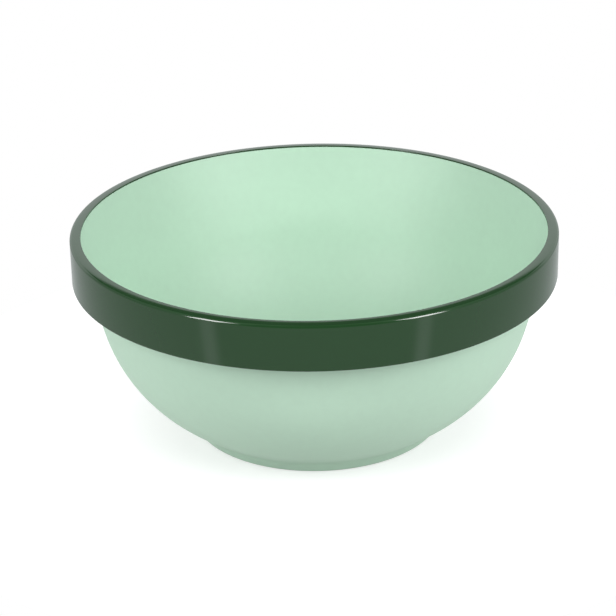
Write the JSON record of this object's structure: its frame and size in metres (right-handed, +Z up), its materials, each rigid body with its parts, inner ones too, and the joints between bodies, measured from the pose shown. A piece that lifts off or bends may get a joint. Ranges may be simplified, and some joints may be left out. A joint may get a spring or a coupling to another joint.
{
  "type": "mixing bowl",
  "caption": "Round two-tone mixing bowl: pale mint moulded bowl with a flared side and a low foot, a dark green band over its rim and a non-slip ring under the foot.",
  "frame": {"origin": "centre of the plane that the bowl stands on", "axes": "+Z up along the bowl's axis of turning; X and Y are alike"},
  "size_m": [0.25, 0.25, 0.1088],
  "materials": {
    "mint_melamine": "satin gloss moulded melamine, pale mint green, coloured through",
    "dark_green_melamine": "glossy moulded melamine, dark bottle green, coloured through",
    "grip_elastomer": "matt soft elastomer, grey green"
  },
  "bodies": {
    "root": {"bowl_body": "mint_melamine", "rim_band": "dark_green_melamine", "foot_grip_ring": "grip_elastomer"}
  },
  "joints": []
}
